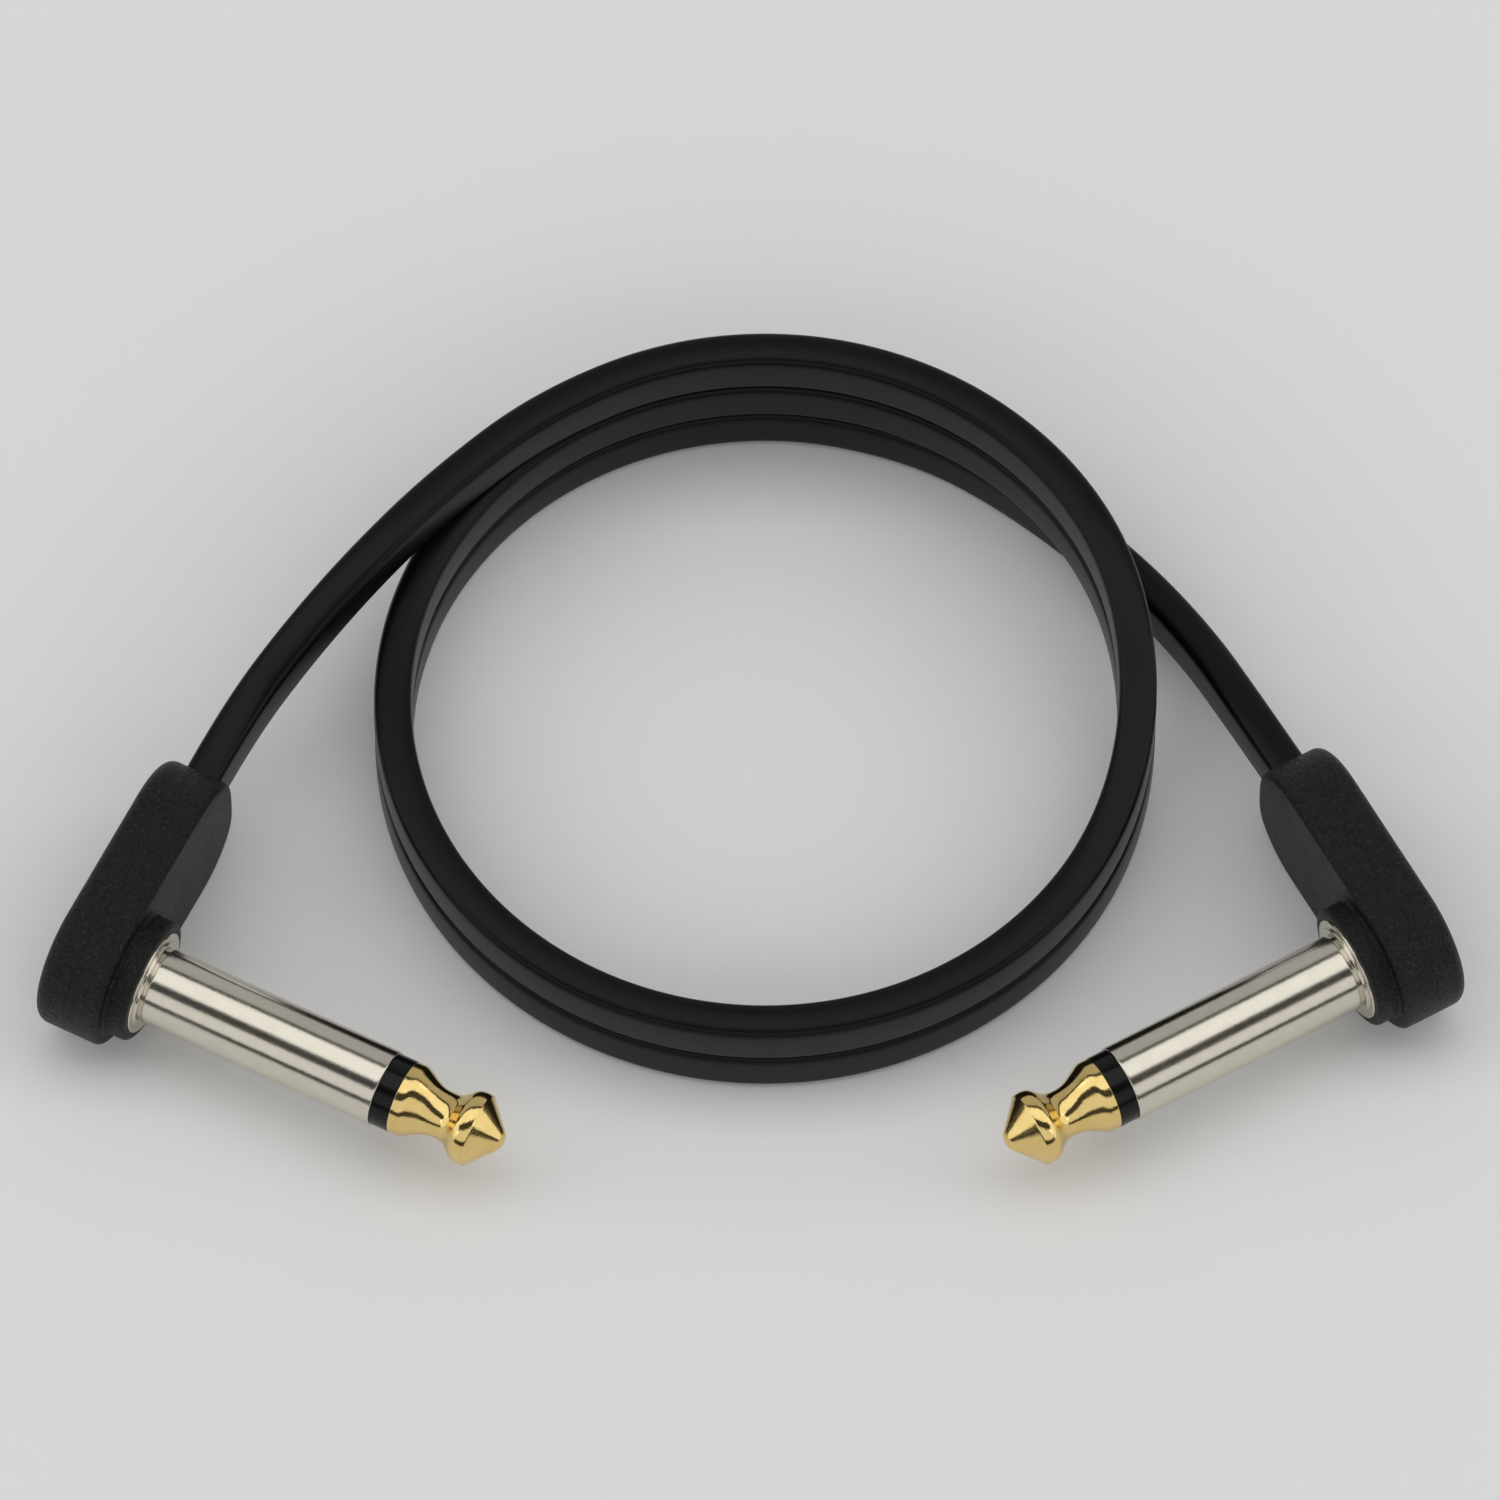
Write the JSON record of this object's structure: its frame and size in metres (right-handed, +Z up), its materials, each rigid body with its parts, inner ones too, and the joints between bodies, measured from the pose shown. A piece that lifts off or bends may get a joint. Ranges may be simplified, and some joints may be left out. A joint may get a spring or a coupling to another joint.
{
  "type": "instrument patch cable",
  "caption": "Short flat patch lead for guitar effects, coiled, with a moulded low-profile right-angle phone plug on each end",
  "frame": {"origin": "on the surface the cable lies on, below the middle of the box round the two plugs", "axes": "+X runs from the left plug to the right plug, +Z is up, and +Y runs from the plug tips towards the far side of the coil"},
  "size_m": [0.113, 0.0711, 0.0136],
  "materials": {
    "body_black": "matte, fine grained",
    "inner_black": "matte",
    "nickel": "polished nickel plate",
    "insulator_black": "gloss",
    "gold": "polished gold plate",
    "copper": "bare stranded copper",
    "solder": "satin solder",
    "core_white": "satin",
    "jacket": "satin black"
  },
  "bodies": {
    "root": {"left_housing": "body_black", "left_inner_block": "inner_black", "left_sleeve": "nickel", "left_insulating_ring": "insulator_black", "left_insulating_tube": "insulator_black", "left_tip": "gold", "left_rear_washer": "insulator_black", "left_tip_lug": "nickel", "left_earth_lug": "nickel", "left_jacket_end": "jacket", "left_screen": "copper", "left_core": "core_white", "left_conductor": "copper", "left_tip_solder": "solder", "left_earth_solder": "solder", "right_housing": "body_black", "right_inner_block": "inner_black", "right_sleeve": "nickel", "right_insulating_ring": "insulator_black", "right_insulating_tube": "insulator_black", "right_tip": "gold", "right_rear_washer": "insulator_black", "right_tip_lug": "nickel", "right_earth_lug": "nickel", "right_jacket_end": "jacket", "right_screen": "copper", "right_core": "core_white", "right_conductor": "copper", "right_tip_solder": "solder", "right_earth_solder": "solder", "lead_left_end": "jacket", "lead_coil": "jacket", "lead_right_end": "jacket"}
  },
  "joints": []
}
